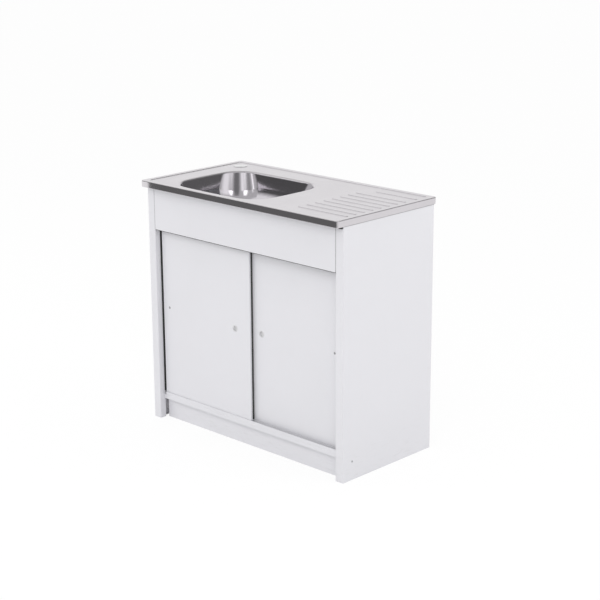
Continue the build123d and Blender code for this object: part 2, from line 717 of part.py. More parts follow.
for side_name, side, door_face, track_y in door_sides:
    outer_edge = side * (stile_inside - door_end_gap)
    inner_edge = outer_edge - side * door_width
    door_x = (outer_edge + inner_edge) / 2
    cup_x = inner_edge + side * cup_inset
    plug_x = outer_edge - side * plug_inset
    end_spacing = door_width - 2 * shoe_inset
    face_plane = Plane((0, door_face, 0), x_dir=(1, 0, 0), z_dir=(0, -1, 0))
    cup_plane = Plane((cup_x, door_face, cup_height), x_dir=(1, 0, 0), z_dir=(0, 0, 1))
    plug_plane = Plane((plug_x, door_face, plug_height), x_dir=(1, 0, 0), z_dir=(0, 0, 1))

    # Pan of thin sheet with edges folded back and a narrow lip all round its back.
    with BuildPart() as door_panel:
        with BuildSketch(face_plane):
            with Locations((door_x, door_bottom)):
                Rectangle(door_width, door_height, align=(Align.CENTER, Align.MIN))
        extrude(amount=-door_thickness)
        fillet(door_panel.faces().sort_by(Axis.Y)[0].edges(), door_bend_radius)
        with BuildSketch(face_plane.offset(-door_sheet)):
            with Locations((door_x, door_bottom + door_sheet)):
                Rectangle(
                    door_width - 2 * door_sheet,
                    door_height - 2 * door_sheet,
                    align=(Align.CENTER, Align.MIN),
                )
        extrude(amount=-(door_thickness - 2 * door_sheet), mode=Mode.SUBTRACT)
        with BuildSketch(face_plane.offset(-(door_thickness - door_sheet))):
            with Locations((door_x, door_bottom + door_back_lip)):
                Rectangle(
                    door_width - 2 * door_back_lip,
                    door_height - 2 * door_back_lip,
                    align=(Align.CENTER, Align.MIN),
                )
        extrude(amount=-door_sheet, mode=Mode.SUBTRACT)
        with BuildSketch(face_plane):
            with Locations((cup_x, cup_height)):
                Circle(cup_radius)
            with Locations((plug_x, plug_height)):
                Circle(plug_shank_radius)
        extrude(amount=-door_sheet, mode=Mode.SUBTRACT)
        for edge_z in (door_bottom, door_top - door_sheet):
            with BuildSketch(Plane((door_x, track_y, edge_z))):
                with GridLocations(end_spacing, 0, 2, 1):
                    Circle(peg_radius)
            extrude(amount=door_sheet, mode=Mode.SUBTRACT)
    door_panel.part.label = f"{side_name}_door_panel"
    export_step(door_panel.part, f"parts/{side_name}_door_panel.step")

    # Round finger cup let into the door, its rim a little proud of the face.
    with BuildPart() as finger_cup:
        with BuildSketch(cup_plane) as cup_section:
            with BuildLine():
                Polyline(
                    (0, cup_depth),
                    (cup_radius, cup_depth),
                    (cup_radius, 0),
                    (cup_rim_radius, 0),
                    (cup_rim_radius, -cup_rim_height),
                    (cup_radius - cup_wall, -cup_rim_height),
                    (cup_radius - cup_wall, cup_depth - cup_wall),
                    (0, cup_depth - cup_wall),
                    close=True,
                )
            make_face()
            fillet(cup_section.vertices().group_by(Axis.Y)[0], cup_edge_radius)
        revolve(axis=Axis((cup_x, door_face, cup_height), (0, 1, 0)))
    finger_cup.part.label = f"{side_name}_finger_cup"
    export_step(finger_cup.part, f"parts/{side_name}_finger_cup.step")

    # Small plug with a domed head.
    with BuildPart() as hole_plug:
        with BuildSketch(plug_plane):
            with BuildLine():
                Line((0, plug_shank_length), (plug_shank_radius, plug_shank_length))
                Line((plug_shank_radius, plug_shank_length), (plug_shank_radius, 0))
                Line((plug_shank_radius, 0), (plug_head_radius, 0))
                ThreePointArc(
                    (plug_head_radius, 0),
                    (plug_head_radius / 2, -dome_rise(plug_head_radius, plug_head_height)),
                    (0, -plug_head_height),
                )
                Line((0, -plug_head_height), (0, plug_shank_length))
            make_face()
        revolve(axis=Axis((plug_x, door_face, plug_height), (0, 1, 0)))
    hole_plug.part.label = f"{side_name}_hole_plug"
    export_step(hole_plug.part, f"parts/{side_name}_hole_plug.step")

    # Nylon shoes astride the bottom ridge, each with a peg up into the door.
    shoe_bottom = shelf_top + track_base + shoe_floor_gap
    slot_top = track_top + shoe_rest_clearance
    with BuildPart() as door_glides:
        with BuildSketch(Plane((door_x, track_y, shoe_bottom))):
            with GridLocations(end_spacing, 0, 2, 1):
                Rectangle(shoe_length, shoe_thickness)
        extrude(amount=door_bottom - shoe_bottom)
        fillet(door_glides.edges().filter_by(Axis.Z), shoe_edge_radius)
        with BuildSketch(Plane((door_x, track_y, shoe_bottom))):
            Rectangle(door_width, ridge_thickness + 2 * shoe_slot_clearance)
        extrude(amount=slot_top - shoe_bottom, mode=Mode.SUBTRACT)
        with BuildSketch(Plane((door_x, track_y, door_bottom))):
            with GridLocations(end_spacing, 0, 2, 1):
                Circle(peg_radius)
        extrude(amount=peg_length)
    door_glides.part.label = f"{side_name}_door_glides"
    export_step(door_glides.part, f"parts/{side_name}_door_glides.step")

    # Nylon guides that run between the fins of the top track.
    with BuildPart() as door_guides:
        with BuildSketch(Plane((door_x, track_y, door_top))):
            with GridLocations(end_spacing, 0, 2, 1):
                Rectangle(guide_length, guide_thickness)
        extrude(amount=guide_height)
        fillet(door_guides.edges().filter_by(Axis.Z), guide_edge_radius)
        with BuildSketch(Plane((door_x, track_y, door_top))):
            with GridLocations(end_spacing, 0, 2, 1):
                Circle(peg_radius)
        extrude(amount=-peg_length)
    door_guides.part.label = f"{side_name}_door_guides"
    export_step(door_guides.part, f"parts/{side_name}_door_guides.step")

# ---- folded battens under the deck ----
batten_height = deck_under - cabinet_top
batten_front = cabinet_front + batten_setback
batten_length = back_panel_front - 2 * batten_setback - batten_front
batten_places = (
    -(cabinet_side - side_top_flange - batten_side_gap - batten_width / 2),
    bowl_x + bowl_length / 2 + batten_bowl_gap + batten_width / 2,
    cabinet_side - side_top_flange - batten_right_gap - batten_width / 2,
)
batten_strip = folded_sheet(
    Plane.XZ.offset(-batten_front - batten_length),
    [
        (-batten_width / 2, cabinet_top),
        (-batten_width / 2, deck_under),
        (batten_width / 2, deck_under),
        (batten_width / 2, cabinet_top),
    ],
    batten_length,
    cabinet_sheet,
    bend_radius,
    Side.RIGHT,
)

with BuildPart() as deck_battens:
    with Locations(*[(place, 0, 0) for place in batten_places]):
        add(batten_strip)
deck_battens.part.label = "deck_battens"
export_step(deck_battens.part, "parts/deck_battens.step")

# ---- clips that hold the rim's lip down on the side panels ----
lip_inside = half_length - lip_width
clip_foot = cabinet_side - side_top_flange + clip_edge_gap
clip_step = lip_inside - clip_edge_gap
clip_tip = lip_inside + clip_reach
right_clip = folded_sheet(
    Plane.XZ.offset(-clip_width / 2),
    [
        (clip_foot, cabinet_top),
        (clip_step, cabinet_top),
        (clip_step, cabinet_top + sink_sheet),
        (clip_tip, cabinet_top + sink_sheet),
    ],
    clip_width,
    clip_sheet,
    clip_bend_radius,
    Side.LEFT,
)

with BuildPart() as sink_clips:
    with Locations((0, -clip_spacing / 2, 0), (0, clip_spacing / 2, 0)):
        add(right_clip)
    with BuildSketch(Plane.XY.offset(cabinet_top)):
        with Locations((clip_screw_x, 0)):
            with GridLocations(0, clip_spacing, 1, 2):
                Circle(screw_hole_radius)
    extrude(amount=clip_sheet, mode=Mode.SUBTRACT)
    mirror(about=Plane.YZ)
sink_clips.part.label = "sink_clips"
export_step(sink_clips.part, "parts/sink_clips.step")

# ---- damping pads under the bowl floor, one each side of the waste ----
pad_spacing = 2 * (nut_radius + pad_nut_gap) + pad_width
with BuildPart() as sound_pad:
    with BuildSketch(Plane((bowl_x, bowl_y, bowl_under))):
        with GridLocations(pad_spacing, 0, 2, 1):
            RectangleRounded(pad_width, pad_length, pad_corner_radius)
    extrude(amount=-pad_thickness)
sound_pad.part.label = "sound_pad"
export_step(sound_pad.part, "parts/sound_pad.step")

# ---- basket waste: body with flange, cup, spoked hub and threaded tail ----
waste_plane = Plane((bowl_x, bowl_y, 0), x_dir=(1, 0, 0), z_dir=(0, -1, 0))
waste_axis = Axis((bowl_x, bowl_y, 0), (0, 0, 1))

with BuildPart() as waste_body:
    with BuildSketch(waste_plane):
        with BuildLine():
            Polyline(
                (cup_seat_radius, flange_top),
                (flange_radius, flange_top),
                (flange_radius, seal_top),
                (cup_seat_outside, seal_top),
                (cup_seat_outside, waste_bottom),
                (tail_radius, waste_bottom),
                (tail_radius, tail_bottom),
                (tail_bore_radius, tail_bottom),
                (tail_bore_radius, waste_seat),
                (cup_seat_radius, waste_seat),
                close=True,
            )
        make_face()
    revolve(axis=waste_axis)
    flange_edges = waste_body.edges().filter_by(GeomType.CIRCLE).group_by(SortBy.RADIUS)[-1]
    fillet(flange_edges.sort_by(Axis.Z)[-1], flange_edge_radius)
    with BuildSketch(Plane((bowl_x, bowl_y, hub_bottom))):
        with PolarLocations(0, spoke_count):
            Rectangle(tail_bore_radius + spoke_bite, spoke_width, align=(Align.MIN, Align.CENTER))
        Circle(hub_radius)
        Circle(stem_radius + stem_clearance, mode=Mode.SUBTRACT)
    extrude(amount=hub_height)
waste_body.part.label = "waste_body"
export_step(waste_body.part, "parts/waste_body.step")

seal_inside = cup_seat_outside + nut_clearance
flange_seal = ring(bowl_x, bowl_y, bowl_floor, seal_thickness, flange_radius - seal_setback, seal_inside)
flange_seal.label = "flange_seal"
export_step(flange_seal, "parts/flange_seal.step")

lower_seal = ring(bowl_x, bowl_y, lower_seal_bottom, seal_thickness, nut_radius, seal_inside)
lower_seal.label = "lower_seal"
export_step(lower_seal, "parts/lower_seal.step")

with BuildPart() as waste_nut:
    with BuildSketch(Plane((bowl_x, bowl_y, lower_seal_bottom))):
        Circle(nut_radius)
        Circle(seal_inside, mode=Mode.SUBTRACT)
        with PolarLocations(nut_radius + nut_grip_offset, nut_grip_count):
            Circle(nut_grip_radius, mode=Mode.SUBTRACT)
    extrude(amount=-nut_height)
    chamfer(waste_nut.faces().sort_by(Axis.Z)[0].outer_wire().edges(), nut_chamfer)
waste_nut.part.label = "waste_nut"
export_step(waste_nut.part, "parts/waste_nut.step")

# ---- lifting basket: perforated basket, rubber stopper, stem and knob ----
with BuildPart() as strainer_basket:
    with BuildSketch(waste_plane):
        with BuildLine():
            Polyline(
                (stem_radius, basket_floor),
                (basket_foot_radius, basket_floor),
                (basket_wall_radius, basket_rim - basket_sheet),
                (basket_rim_radius, basket_rim - basket_sheet),
                (basket_rim_radius, basket_rim),
                (basket_wall_radius - basket_sheet, basket_rim),
                (basket_foot_radius - basket_sheet, basket_floor + basket_sheet),
                (stem_radius, basket_floor + basket_sheet),
                close=True,
            )
        make_face()
    revolve(axis=waste_axis)
    with BuildSketch(Plane((bowl_x, bowl_y, basket_floor))):
        for ring_radius, hole_count in zip(basket_ring_radii, basket_ring_counts):
            with PolarLocations(ring_radius, hole_count):
                Circle(basket_hole_radius)
    extrude(amount=basket_sheet, mode=Mode.SUBTRACT)
strainer_basket.part.label = "strainer_basket"
export_step(strainer_basket.part, "parts/strainer_basket.step")

basket_stopper = ring(bowl_x, bowl_y, stopper_bottom, stopper_height, stopper_radius, stem_radius)
basket_stopper.label = "basket_stopper"
export_step(basket_stopper, "parts/basket_stopper.step")

knob_top = flange_top + knob_rise + knob_height
with BuildPart() as basket_knob:
    with BuildSketch(Plane((bowl_x, bowl_y, hub_bottom - stem_tail))):
        Circle(stem_radius)
    extrude(amount=knob_top - knob_height - hub_bottom + stem_tail)
    with BuildSketch(Plane((bowl_x, bowl_y, knob_top - knob_height))):
        Circle(knob_radius)
    extrude(amount=knob_height)
    fillet(basket_knob.faces().sort_by(Axis.Z)[-1].edges(), knob_edge_radius)
basket_knob.part.label = "basket_knob"
export_step(basket_knob.part, "parts/basket_knob.step")

# ---- tap hole cover and the nut that draws it down ----
tap_plane = Plane((tap_x, tap_y, deck_top), x_dir=(1, 0, 0), z_dir=(0, -1, 0))
cover_top = cover_edge + cover_dome

with BuildPart() as tap_hole_cover:
    with BuildSketch(tap_plane):
        with BuildLine():
            Line((0, -cover_stud_length), (cover_stud_radius, -cover_stud_length))
            Line((cover_stud_radius, -cover_stud_length), (cover_stud_radius, 0))
            Line((cover_stud_radius, 0), (cover_radius, 0))
            Line((cover_radius, 0), (cover_radius, cover_edge))
            ThreePointArc(
                (cover_radius, cover_edge),
                (cover_radius / 2, cover_edge + dome_rise(cover_radius, cover_dome)),
                (0, cover_top),
            )
            Line((0, cover_top), (0, -cover_stud_length))
        make_face()
    revolve(axis=Axis((tap_x, tap_y, 0), (0, 0, 1)))
tap_hole_cover.part.label = "tap_hole_cover"
export_step(tap_hole_cover.part, "parts/tap_hole_cover.step")

with BuildPart() as tap_hole_nut:
    with BuildSketch(Plane((tap_x, tap_y, deck_under))):
        Circle(cover_nut_radius)
    extrude(amount=-cover_nut_flange)
    with BuildSketch(Plane((tap_x, tap_y, deck_under))):
        RegularPolygon(cover_nut_hex, 6)
    extrude(amount=-cover_nut_height)
    with BuildSketch(Plane((tap_x, tap_y, deck_under))):
        Circle(cover_stud_radius + cover_nut_clearance)
    extrude(amount=-cover_nut_height, mode=Mode.SUBTRACT)
tap_hole_nut.part.label = "tap_hole_nut"
export_step(tap_hole_nut.part, "parts/tap_hole_nut.step")

# ---- screws ----
screw = pan_screw(screw_length)

with BuildPart() as rail_screws:
    for side in (-1, 1):
        for drop in rail_screw_drops:
            head_x = side * (rail_half - cabinet_sheet)
            with Locations(Location((head_x, rail_screw_y, cabinet_top - drop), (0, -side * 90, 0))):
                add(screw)
rail_screws.part.label = "rail_screws"
export_step(rail_screws.part, "parts/rail_screws.step")

with BuildPart() as shelf_screws:
    for side in (-1, 1):
        with Locations(Location((side * cabinet_side, shelf_screw_y, shelf_screw_z), (0, side * 90, 0))):
            add(screw)
shelf_screws.part.label = "shelf_screws"
export_step(shelf_screws.part, "parts/shelf_screws.step")

with BuildPart() as back_panel_screws:
    for side in (-1, 1):
        for height in back_screw_heights:
            with Locations(Location((side * back_screw_x, cabinet_back, height), (-90, 0, 0))):
                add(screw)
back_panel_screws.part.label = "back_panel_screws"
export_step(back_panel_screws.part, "parts/back_panel_screws.step")

with BuildPart() as plinth_screws:
    with Locations((0, plinth_screw_y, shelf_top)):
        with GridLocations(plinth_screw_spacing, 0, plinth_screw_count, 1):
            add(screw)
plinth_screws.part.label = "plinth_screws"
export_step(plinth_screws.part, "parts/plinth_screws.step")

with BuildPart() as track_screws:
    with Locations((0, mid_track_y, shelf_top + track_base)):
        with GridLocations(track_screw_spacing, 0, track_screw_count, 1):
            add(screw)
track_screws.part.label = "track_screws"
export_step(track_screws.part, "parts/track_screws.step")

with BuildPart() as clip_screws:
    for side in (-1, 1):
        for end in (-1, 1):
            head_place = (side * clip_screw_x, end * clip_spacing / 2, cabinet_top - cabinet_sheet)
            with Locations(Location(head_place, (180, 0, 0))):
                add(screw)
clip_screws.part.label = "clip_screws"
export_step(clip_screws.part, "parts/clip_screws.step")
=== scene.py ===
import json
import math
import bmesh
import bpy
from mathutils import Matrix, Vector


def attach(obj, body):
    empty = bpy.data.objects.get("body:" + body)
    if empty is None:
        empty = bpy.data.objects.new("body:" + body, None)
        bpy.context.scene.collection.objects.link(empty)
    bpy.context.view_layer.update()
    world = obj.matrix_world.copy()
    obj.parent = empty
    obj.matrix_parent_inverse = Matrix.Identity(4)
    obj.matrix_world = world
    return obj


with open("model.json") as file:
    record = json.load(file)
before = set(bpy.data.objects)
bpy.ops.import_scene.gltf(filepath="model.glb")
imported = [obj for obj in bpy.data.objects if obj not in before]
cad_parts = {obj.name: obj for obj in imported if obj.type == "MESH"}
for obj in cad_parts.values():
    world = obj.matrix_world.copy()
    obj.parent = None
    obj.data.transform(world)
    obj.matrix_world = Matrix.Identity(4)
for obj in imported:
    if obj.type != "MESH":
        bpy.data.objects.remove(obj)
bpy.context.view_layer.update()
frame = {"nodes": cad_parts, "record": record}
nodes = frame["nodes"]
slotOf = {part["node"]: part["material_slot"] for part in frame["record"]["subparts"]}
scene = bpy.context.scene
print("frame loaded,", len(nodes), "nodes")


class Wire:
    # a socket of a node tree; sums and products of wires add Math nodes
    def __init__(self, tree, socket=None):
        self.tree = tree
        self.socket = socket

    def add(self, kind, settings=None, sockets=None, output=0):
        made = self.tree.nodes.new(kind)
        for name, value in (settings or {}).items():
            setattr(made, name, value)
        for name, value in (sockets or {}).items():
            if isinstance(value, Wire):
                self.tree.links.new(value.socket, made.inputs[name])
            else:
                made.inputs[name].default_value = value
        return Wire(self.tree, made.outputs[output] if len(made.outputs) else None)

    def maths(self, operation, *values):
        return self.add("ShaderNodeMath", {"operation": operation}, dict(enumerate(values)))

    def __add__(self, other):
        return self.maths("ADD", self, other)

    def __sub__(self, other):
        return self.maths("SUBTRACT", self, other)

    def __rsub__(self, other):
        return self.maths("SUBTRACT", other, self)

    def __mul__(self, other):
        return self.maths("MULTIPLY", self, other)

    __radd__ = __add__
    __rmul__ = __mul__

    def clamp(self):
        return self.add("ShaderNodeClamp", {}, {"Value": self, "Min": 0.0, "Max": 1.0})

    def smooth(self, start, end):  # 0 before start, 1 after end
        settings = {"interpolation_type": "SMOOTHSTEP"}
        sockets = {"Value": self, "From Min": start, "From Max": end}
        return self.add("ShaderNodeMapRange", settings, sockets)

    def around(self, middle, reach, soft):  # 1 within reach of the middle, 0 outside
        return 1 - self.maths("ABSOLUTE", self - middle).smooth(reach - soft, reach + soft)

    def blend(self, first, second):  # colours mixed by this mask
        sockets = {0: self, 6: first, 7: second}  # the Mix node's factor and its two colours
        return self.add("ShaderNodeMix", {"data_type": "RGBA"}, sockets, output=2)


def emptyTree(owner):
    owner.use_nodes = True
    owner.node_tree.nodes.clear()
    return Wire(owner.node_tree)


def newMaterial(name, recipe, constants=None):
    made = bpy.data.materials.new(name)
    start = emptyTree(made)
    point = start.add("ShaderNodeTexCoord", output="Object")
    sockets = dict(constants or {})
    sockets.update(recipe(start, point))
    shader = start.add("ShaderNodeBsdfPrincipled", {}, sockets)
    start.add("ShaderNodeOutputMaterial", {}, {"Surface": shader})
    return made


def stretched(start, point, scale):
    return start.add("ShaderNodeVectorMath", {"operation": "MULTIPLY"}, {0: point, 1: scale})


def noise(start, point, scale, detail, roughness=0.5):
    sockets = {"Vector": point, "Scale": scale, "Detail": detail, "Roughness": roughness}
    return start.add("ShaderNodeTexNoise", {}, sockets)


def bumped(start, height, strength, distance):
    sockets = {"Height": height, "Strength": strength, "Distance": distance}
    return start.add("ShaderNodeBump", {}, sockets)


def axisOf(start, point, axis):
    return start.add("ShaderNodeSeparateXYZ", {}, {0: point}, output=axis)


# camera at the photograph's angle: degrees and metres, lens and sensor in millimetres
camera = {
    "azimuth": 44.02, "elevation": 16.13, "roll": -0.31,
    "distance": 5.1878, "target": (0.0, 0.0, 0.430),
    "shiftRight": 0.04801, "shiftUp": 0.03748,
    "lens": 92.99, "sensor": 36.0, "farClip": 60.0,
}


def placeCamera(values):
    azimuth, elevation, roll = (math.radians(values[key]) for key in ("azimuth", "elevation", "roll"))
    level = math.cos(elevation)
    back = Vector((math.sin(azimuth) * level, -math.cos(azimuth) * level, math.sin(elevation)))
    right = Vector((math.cos(azimuth), math.sin(azimuth), 0.0))
    up = back.cross(right)
    rightRolled = right * math.cos(roll) + up * math.sin(roll)
    upRolled = up * math.cos(roll) - right * math.sin(roll)
    place = Vector(values["target"]) + back * values["distance"]
    place += rightRolled * values["shiftRight"] + upRolled * values["shiftUp"]
    data = bpy.data.cameras.new("photoCamera")
    data.lens = values["lens"]
    data.sensor_width = values["sensor"]
    data.clip_end = values["farClip"]
    made = bpy.data.objects.new("photoCamera", data)
    scene.collection.objects.link(made)
    turn = Matrix((rightRolled, upRolled, back)).transposed().to_4x4()
    made.matrix_world = Matrix.Translation(place) @ turn
    return made


scene.camera = placeCamera(camera)
scene.view_settings.view_transform = "Standard"
print("camera placed")

# floor, soft light and what the steel mirrors
white = (1.0, 1.0, 1.0, 1.0)
studio = {
    "softLevel": 0.77,  # even light from all round
    "mirrored": 0.55,  # what steel sees of the room between the screens
    "floorSize": 60.0, "floorColour": (0.93, 0.93, 0.93, 1.0),
    "floorGlow": 0.88, "floorWhite": 1.02,  # share and level of the floor's white that no shadow dims
    "floorMirrored": 1.04,  # what steel sees of the floor
    "edgeMirrored": 0.145,  # and past the floor's front edge
    "frontEdge": -2.45, "frontSoft": 0.03,  # metres
    "slant": (0.647, -0.762, -0.086), "slantSoft": 0.004,  # left of this line the rim mirrors pale floor
}

# soft boxes, dark screens and pale walls that only steel sees, in degrees; a later one covers an earlier one
screens = {
    "paleWall": {"azimuth": 140, "spread": 26, "low": -40, "high": 34, "soft": 8, "level": 1.03},
    "rightScreen": {"azimuth": 66, "spread": 35, "low": -4, "high": 46, "soft": 6, "level": 0.125},
    "rightTop": {"azimuth": 104, "spread": 44, "low": 45, "high": 66, "soft": 5, "level": 0.18},
    "leftScreen": {"azimuth": 222, "spread": 16, "low": -4, "high": 24, "soft": 4, "level": 0.09},
    "leftRise": {"azimuth": 208, "spread": 17, "low": 30, "high": 60, "soft": 4, "level": 0.95},
    "rightGlow": {"azimuth": 12, "spread": 14, "low": 16, "high": 46, "soft": 8, "level": 1.05},
    "leftDim": {"azimuth": 272, "spread": 9, "low": 16, "high": 36, "soft": 5, "level": 0.32},
    "nearStreak": {"azimuth": 252.5, "spread": 2.5, "low": 17, "high": 34, "soft": 2, "level": 1.6},
    "leftStreak": {"azimuth": 298, "spread": 6, "low": 16, "high": 44, "soft": 4, "level": 1.1},
    "cameraGap": {"azimuth": 325, "spread": 13, "low": 20, "high": 58, "soft": 5, "level": 0.20},
    "leftBox": {"azimuth": 281, "spread": 8, "low": 38, "high": 52, "soft": 5, "level": 2.6},
    "rightBox": {"azimuth": 354, "spread": 8, "low": 38, "high": 50, "soft": 5, "level": 2.6},
}


def buildWorld(values, areas):
    world = bpy.data.worlds.new("studio")
    scene.world = world
    start = emptyTree(world)
    cameraRay = start.add("ShaderNodeLightPath", output="Is Camera Ray")
    glossyRay = start.add("ShaderNodeLightPath", output="Is Glossy Ray")
    heading = start.add("ShaderNodeTexCoord", output="Generated")
    toDegrees = math.degrees(1.0)
    azimuth = start.maths("ARCTAN2", axisOf(start, heading, 1), axisOf(start, heading, 0)) * toDegrees
    height = start.maths("ARCSINE", axisOf(start, heading, 2)) * toDegrees
    mirrored = values["mirrored"]
    for area in areas.values():
        soft = area["soft"]
        turned = start.maths("WRAP", azimuth - area["azimuth"], 180.0, -180.0)
        inside = turned.around(0.0, area["spread"], soft)
        inside = inside * height.smooth(area["low"] - soft, area["low"] + soft)
        inside = inside * (1 - height.smooth(area["high"] - soft, area["high"] + soft))
        mirrored = (1 - inside) * mirrored + inside * area["level"]
    even = (1 - glossyRay) * values["softLevel"]
    level = cameraRay + (1 - cameraRay) * (glossyRay * mirrored + even)
    glow = start.add("ShaderNodeBackground", {}, {"Color": white, "Strength": level})
    start.add("ShaderNodeOutputWorld", {}, {"Surface": glow})


def buildFloor(values):
    half = values["floorSize"] / 2
    corners = [(-half, -half, 0), (half, -half, 0), (half, half, 0), (-half, half, 0)]
    mesh = bpy.data.meshes.new("studioFloor")
    mesh.from_pydata(corners, [], [(0, 1, 2, 3)])
    made = bpy.data.objects.new("studioFloor", mesh)
    scene.collection.objects.link(made)
    paper = bpy.data.materials.new("studioPaper")
    start = emptyTree(paper)
    cameraRay = start.add("ShaderNodeLightPath", output="Is Camera Ray")
    glossyRay = start.add("ShaderNodeLightPath", output="Is Glossy Ray")
    point = start.add("ShaderNodeTexCoord", output="Object")
    edge, soft = values["frontEdge"], values["frontSoft"]
    front = 1 - axisOf(start, point, 1).smooth(edge - soft, edge + soft)
    slantX, slantY, slantFrom = values["slant"]
    side = axisOf(start, point, 0) * slantX + axisOf(start, point, 1) * slantY
    past = front * side.smooth(slantFrom - values["slantSoft"], slantFrom + values["slantSoft"])
    mirrored = (1 - past) * values["floorMirrored"] + past * values["edgeMirrored"]
    level = cameraRay * values["floorWhite"] + glossyRay * mirrored
    dull = start.add("ShaderNodeBsdfDiffuse", {}, {"Color": values["floorColour"]})
    glow = start.add("ShaderNodeEmission", {}, {"Color": white, "Strength": level})
    share = cameraRay * values["floorGlow"] + glossyRay
    both = start.add("ShaderNodeMixShader", {}, {0: share, 1: dull, 2: glow})
    start.add("ShaderNodeOutputMaterial", {}, {"Surface": both})
    mesh.materials.append(paper)


lampAim = Vector((0.0, 0.0, 0.5))
lamps = [
    {"name": "keyLamp", "place": (2.6, -2.9, 3.2), "size": 2.4, "power": 32},
    {"name": "fillLamp", "place": (-3.2, -2.4, 2.2), "size": 2.4, "power": 24},
    {"name": "sideLamp", "place": (2.2, 0.9, 2.1), "size": 1.2, "power": 8},
]


def buildLamps(rows):
    for row in rows:
        data = bpy.data.lights.new(row["name"], "AREA")
        data.shape = "DISK"
        data.size = row["size"]
        data.energy = row["power"]
        made = bpy.data.objects.new(row["name"], data)
        scene.collection.objects.link(made)
        made.visible_glossy = False  # the steel mirrors the screens instead
        made.visible_camera = False
        made.location = row["place"]
        made.rotation_euler = (lampAim - made.location).to_track_quat("-Z", "Y").to_euler()


buildWorld(studio, screens)
buildFloor(studio)
buildLamps(lamps)
print("studio built")

# white enamel of the cupboard and the doors
enamel = {
    "colour": (0.80, 0.796, 0.83, 1.0), "wearAndShade": (0.70, 0.70, 0.72, 1.0),
    "roughness": 0.30, "cloudRoughness": 0.10, "lowShadeRoughness": 0.12,
    "cloudScale": 3.0, "cloudRange": (0.35, 0.75), "cloudWear": 0.16,
    "lowShadeHeight": 0.16, "lowShadeShare": 0.5,  # painted shade: darker streaks low down, near the floor
    "lowShadeStretch": (6.0, 6.0, 26.0), "lowShadeScale": 4.0, "lowShadeRange": (0.52, 0.72),
    "peelScale": 420.0, "peelStrength": 0.35, "peelDepth": 0.00002,
    "gloss": {"Coat Weight": 0.25, "Coat Roughness": 0.12, "Specular IOR Level": 0.4},
}


def enamelRecipe(start, point):
    clouds = noise(start, point, enamel["cloudScale"], detail=4.0)
    low = 1 - axisOf(start, point, 2).smooth(0.0, enamel["lowShadeHeight"])
    drawn = stretched(start, point, enamel["lowShadeStretch"])
    streaks = noise(start, drawn, enamel["lowShadeScale"], detail=6.0, roughness=0.65)
    # painted shade: the enamel turns darker in streaks in its lowest 16 cm
    lowShade = low * streaks.smooth(*enamel["lowShadeRange"])
    # the darker colour comes from random clouds of wear and from the painted shade low down
    wearAndShade = clouds.smooth(*enamel["cloudRange"]) * enamel["cloudWear"] + lowShade * enamel["lowShadeShare"]
    peel = noise(start, point, enamel["peelScale"], detail=2.0)
    roughness = clouds * enamel["cloudRoughness"] + lowShade * enamel["lowShadeRoughness"]
    return {
        "Base Color": wearAndShade.clamp().blend(enamel["colour"], enamel["wearAndShade"]),
        "Roughness": roughness + enamel["roughness"],
        "Normal": bumped(start, peel, enamel["peelStrength"], enamel["peelDepth"]),
    }


# stainless sheet of the sink top, in metres: brushed deck, polished bowl and front band, satin bowl floor
steel = {
    "colour": (0.685, 0.662, 0.685, 1.0), "dark": (0.625, 0.602, 0.628, 1.0),
    "bowlColour": (0.672, 0.643, 0.684, 1.0),
    "deckMetal": 0.82,  # fine scratches scatter a little light on the brushed deck
    "deckRoughness": 0.22, "bowlRoughness": 0.10, "floorRoughness": 0.24, "bandRoughness": 0.025,
    "deckClouds": 0.05, "bowlClouds": 0.04, "floorClouds": 0.06, "bandClouds": 0.01, "cloudScale": 9.0,
    "bowlTop": (0.842, 0.8480), "bowlFoot": (0.740, 0.778),
    "bandEdge": (-0.2335, -0.2325),  # the turned-down front band lies before this
    "bowlMiddle": (-0.1375, -0.0394), "bowlHalf": (0.212, 0.171), "bowlSoft": 0.004,
    "brushStretch": (6.0, 420.0, 420.0), "brushScale": 3.0, "brushRoughness": 0.10,
    "brushStrength": 0.25, "brushDepth": 0.00004,
    "brushTone": 0.6, "brushRange": (0.3, 0.7), "cloudTone": 0.3, "cloudRange": (0.3, 0.8),
}


def steelRecipe(start, point):
    height = axisOf(start, point, 2)
    inBowl = 1 - height.smooth(*steel["bowlTop"])
    for axis in (0, 1):
        middle, half = steel["bowlMiddle"][axis], steel["bowlHalf"][axis]
        inBowl = inBowl * axisOf(start, point, axis).around(middle, half, steel["bowlSoft"])
    band = 1 - axisOf(start, point, 1).smooth(*steel["bandEdge"])
    flat = (1 - inBowl) * (1 - band)  # deck, border and the other bands
    low = 1 - height.smooth(*steel["bowlFoot"])
    drawn = stretched(start, point, steel["brushStretch"])
    brush = noise(start, drawn, steel["brushScale"], detail=4.0, roughness=0.6)
    clouds = noise(start, point, steel["cloudScale"], detail=4.0)
    rough = flat * (brush * steel["brushRoughness"] + clouds * steel["deckClouds"] + steel["deckRoughness"])
    rough = rough + inBowl * (1 - low) * (clouds * steel["bowlClouds"] + steel["bowlRoughness"])
    rough = rough + inBowl * low * (clouds * steel["floorClouds"] + steel["floorRoughness"])
    rough = rough + band * (clouds * steel["bandClouds"] + steel["bandRoughness"])
    tone = brush.smooth(*steel["brushRange"]) * flat * steel["brushTone"]
    tone = (tone + clouds.smooth(*steel["cloudRange"]) * steel["cloudTone"]).clamp()
    deckColour = tone.blend(steel["colour"], steel["dark"])
    return {
        "Base Color": inBowl.blend(deckColour, steel["bowlColour"]),
        "Metallic": 1 - flat * (1 - steel["deckMetal"]),
        "Roughness": rough,
        "Normal": bumped(start, brush * flat, steel["brushStrength"], steel["brushDepth"]),
    }


